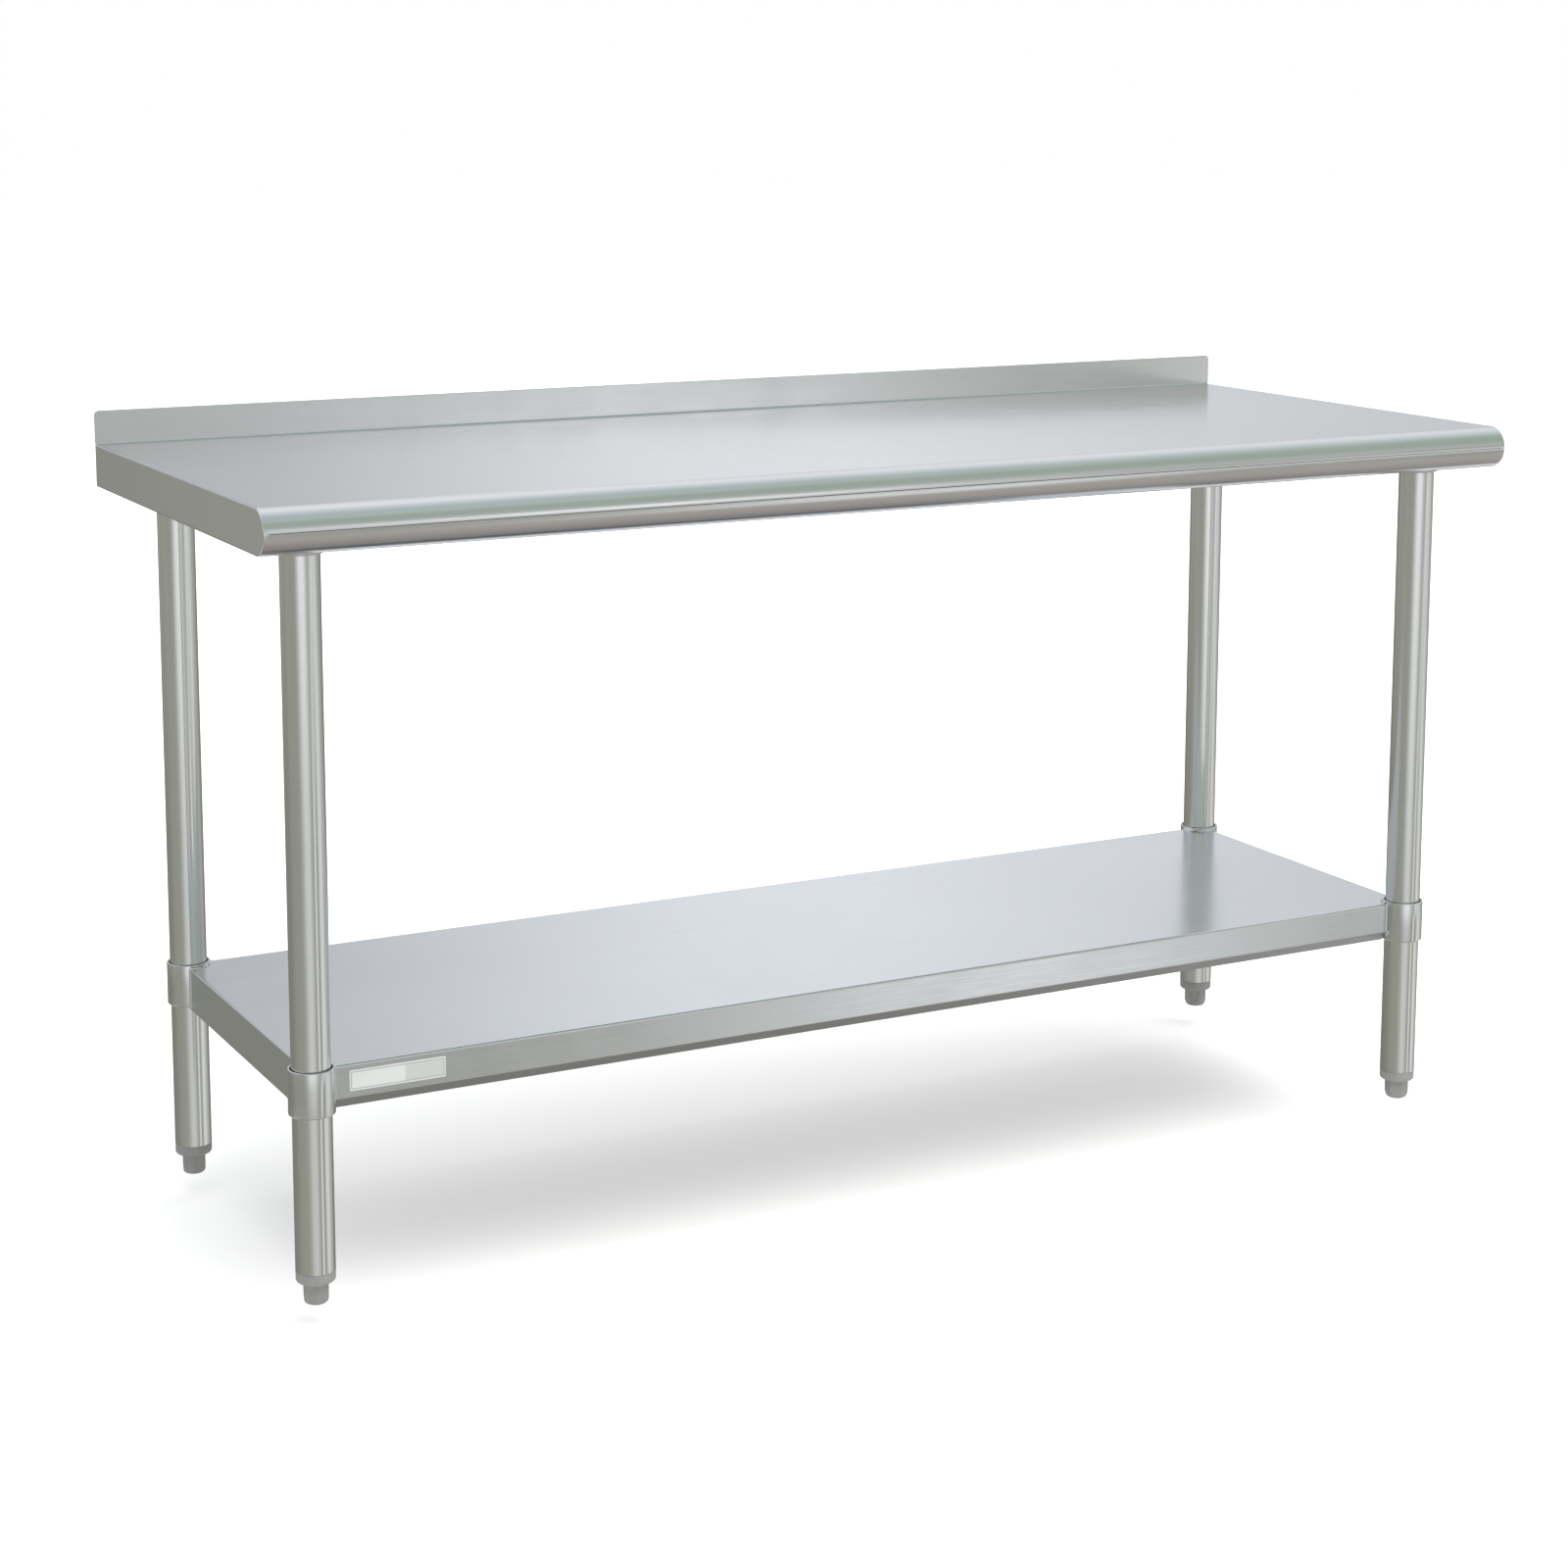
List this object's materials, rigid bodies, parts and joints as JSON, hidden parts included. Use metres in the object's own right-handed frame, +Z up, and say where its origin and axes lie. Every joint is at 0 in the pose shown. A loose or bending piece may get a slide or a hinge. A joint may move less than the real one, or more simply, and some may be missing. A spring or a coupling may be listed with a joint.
{
  "type": "stainless work table",
  "caption": "Stainless steel work table with a low backsplash, rolled front edge, tubular legs, height-adjustable undershelf and screw-levelling feet.",
  "frame": {"origin": "on the floor, under the centre of the table top's plan", "axes": "+X along the table's length, to the right of a person standing at the rolled front edge; +Y from the front edge to the backsplash; +Z up"},
  "size_m": [1.524, 0.5999, 0.873],
  "materials": {
    "stainless_top": "brushed stainless steel, grain along the length",
    "leg_tube": "polished stainless tube with a fine grain along its length",
    "shelf_sheet": "smooth satin sheet steel",
    "shelf_collars": "satin steel with a welded seam",
    "galvanised_channel": "galvanised sheet with a fine spangle",
    "cast_sockets": "die-cast alloy, lightly textured",
    "zinc_fasteners": "bright zinc plate",
    "zinc_studs": "bright zinc plate",
    "stud_steel": "plain stainless stud",
    "grey_plastic": "moulded grey plastic",
    "label_film": "blank printed film"
  },
  "bodies": {
    "frame": {"table_top": "stainless_top", "centre_channel": "galvanised_channel", "left_cross_channel": "galvanised_channel", "right_cross_channel": "galvanised_channel", "weld_studs": "stud_steel", "stud_nuts": "zinc_fasteners", "leg_socket_front_left": "cast_sockets", "leg_socket_front_right": "cast_sockets", "leg_socket_rear_left": "cast_sockets", "leg_socket_rear_right": "cast_sockets", "socket_bolts": "zinc_fasteners", "socket_nuts": "zinc_fasteners", "socket_set_screws": "zinc_fasteners", "leg_front_left": "leg_tube", "leg_front_right": "leg_tube", "leg_rear_left": "leg_tube", "leg_rear_right": "leg_tube", "leg_plug_front_left": "grey_plastic", "leg_plug_front_right": "grey_plastic", "leg_plug_rear_left": "grey_plastic", "leg_plug_rear_right": "grey_plastic"},
    "undershelf": {"shelf_panel": "shelf_sheet", "shelf_channel": "galvanised_channel", "shelf_collar_front_left": "shelf_collars", "shelf_collar_front_right": "shelf_collars", "shelf_collar_rear_left": "shelf_collars", "shelf_collar_rear_right": "shelf_collars", "shelf_set_screws": "zinc_fasteners", "blank_label": "label_film"},
    "front_left_stud": {"foot_stud_front_left": "zinc_studs"},
    "front_left_foot": {"hex_foot_front_left": "grey_plastic"},
    "front_right_stud": {"foot_stud_front_right": "zinc_studs"},
    "front_right_foot": {"hex_foot_front_right": "grey_plastic"},
    "rear_left_stud": {"foot_stud_rear_left": "zinc_studs"},
    "rear_left_foot": {"hex_foot_rear_left": "grey_plastic"},
    "rear_right_stud": {"foot_stud_rear_right": "zinc_studs"},
    "rear_right_foot": {"hex_foot_rear_right": "grey_plastic"}
  },
  "joints": [
    {"name": "undershelf_height", "type": "slide", "parent": "frame", "child": "undershelf", "axis": [0, 0, 1], "range_m": [-0.15, 0.45]},
    {"name": "front_left_level", "type": "slide", "parent": "frame", "child": "front_left_stud", "axis": [0, 0, -1], "range_m": [0, 0.025]},
    {"name": "front_left_turn", "type": "hinge", "parent": "front_left_stud", "child": "front_left_foot", "pos_m": [-0.6985, -0.217, 0], "axis": [0, 0, -1], "range_deg": [0, 3600]},
    {"name": "front_right_level", "type": "slide", "parent": "frame", "child": "front_right_stud", "axis": [0, 0, -1], "range_m": [0, 0.025]},
    {"name": "front_right_turn", "type": "hinge", "parent": "front_right_stud", "child": "front_right_foot", "pos_m": [0.6985, -0.217, 0], "axis": [0, 0, -1], "range_deg": [0, 3600]},
    {"name": "rear_left_level", "type": "slide", "parent": "frame", "child": "rear_left_stud", "axis": [0, 0, -1], "range_m": [0, 0.025]},
    {"name": "rear_left_turn", "type": "hinge", "parent": "rear_left_stud", "child": "rear_left_foot", "pos_m": [-0.6985, 0.2075, 0], "axis": [0, 0, -1], "range_deg": [0, 3600]},
    {"name": "rear_right_level", "type": "slide", "parent": "frame", "child": "rear_right_stud", "axis": [0, 0, -1], "range_m": [0, 0.025]},
    {"name": "rear_right_turn", "type": "hinge", "parent": "rear_right_stud", "child": "rear_right_foot", "pos_m": [0.6985, 0.2075, 0], "axis": [0, 0, -1], "range_deg": [0, 3600]}
  ],
  "couplings": [
    {"joint": "front_left_turn", "follows": "front_left_level", "rad_per_m": 2513.3},
    {"joint": "front_right_turn", "follows": "front_right_level", "rad_per_m": 2513.3},
    {"joint": "rear_left_turn", "follows": "rear_left_level", "rad_per_m": 2513.3},
    {"joint": "rear_right_turn", "follows": "rear_right_level", "rad_per_m": 2513.3}
  ]
}
